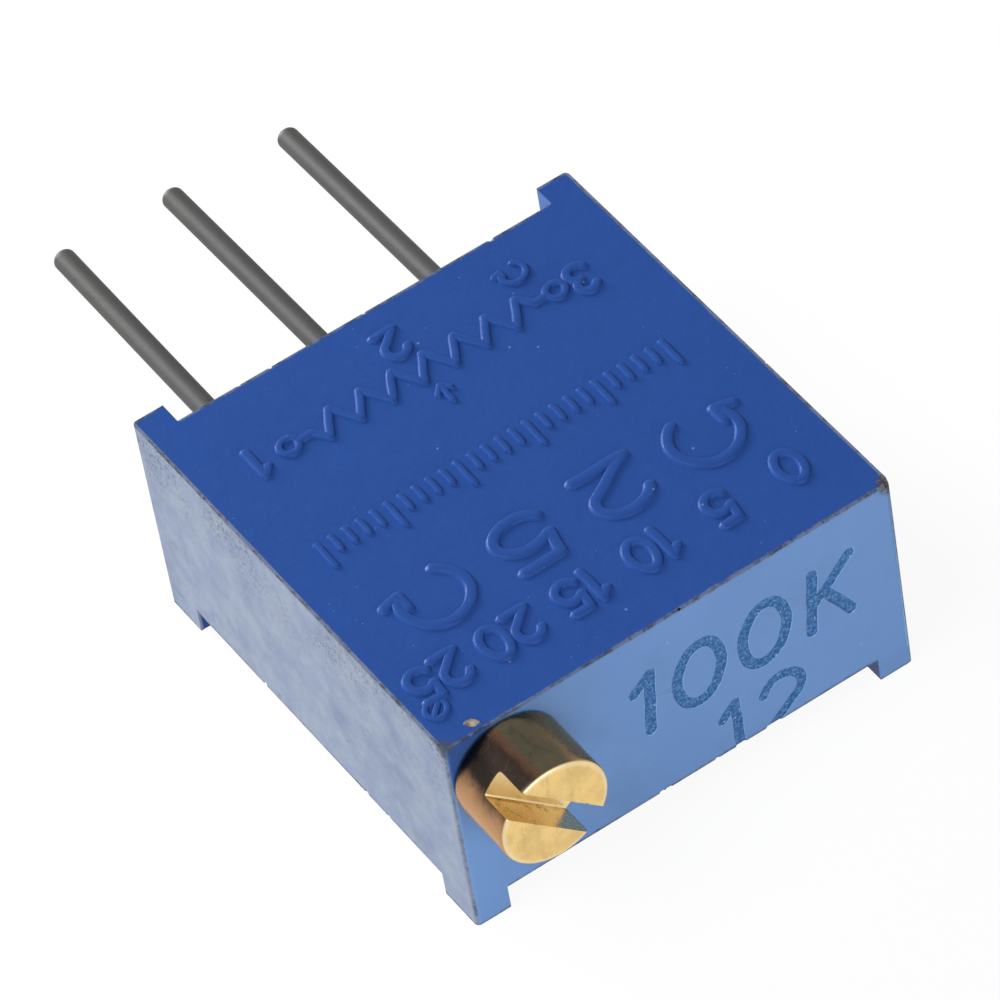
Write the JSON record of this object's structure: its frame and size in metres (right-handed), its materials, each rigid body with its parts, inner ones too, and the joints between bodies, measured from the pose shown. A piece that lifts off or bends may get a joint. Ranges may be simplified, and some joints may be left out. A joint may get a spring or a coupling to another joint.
{
  "type": "trimmer potentiometer",
  "caption": "Square multi-turn trimmer potentiometer with a slotted brass adjusting screw, a worm-driven wiper on a horseshoe track and in-line pins.",
  "frame": {"origin": "under the middle of the whole part, in the plane of the four back feet that it lies on", "axes": "+X from pin 1 to pin 3, +Y from the adjusting screw to the pins, +Z from the potted back to the embossed front wall"},
  "size_m": [0.0096, 0.0182, 0.0048],
  "materials": {
    "blue_plastic": "satin moulded thermoset plastic",
    "brass": "turned, with fine tool marks",
    "seal_rubber": "smooth silicone rubber",
    "spring_steel": "rolled sheet",
    "rotor_plastic": "moulded acetal",
    "wiper_alloy": "bright spring alloy",
    "ceramic": "fired alumina, fine matte",
    "resistive_film": "fired cermet film",
    "conductor_film": "fired silver-palladium film",
    "tinned_copper": "dull tin plate",
    "solder": "reflowed solder",
    "potting_resin": "cured epoxy resin"
  },
  "bodies": {
    "case": {"housing": "blue_plastic", "o_ring": "seal_rubber", "retaining_clip": "spring_steel", "substrate": "ceramic", "resistive_track": "resistive_film", "collector_ring": "conductor_film", "pad_1": "conductor_film", "pad_3": "conductor_film", "terminal_pin_1": "tinned_copper", "terminal_pin_2": "tinned_copper", "terminal_pin_3": "tinned_copper", "solder_joint_1": "solder", "solder_joint_2": "solder", "solder_joint_3": "solder", "potting": "potting_resin"},
    "screw": {"adjusting_screw": "brass"},
    "rotor": {"worm_wheel": "rotor_plastic", "wiper": "wiper_alloy"}
  },
  "joints": [
    {"name": "screw_turn", "type": "hinge", "parent": "case", "child": "screw", "pos_m": [-0.00362, 0, 0.00365], "axis": [0, 1, 0], "range_deg": [-4500, 4500]},
    {"name": "rotor_turn", "type": "hinge", "parent": "case", "child": "rotor", "pos_m": [0.0004, -0.00278, 0.00365], "axis": [0, 0, 1], "range_deg": [-150, 150]}
  ],
  "couplings": [
    {"joint": "rotor_turn", "follows": "screw_turn", "ratio": 0.033333}
  ]
}
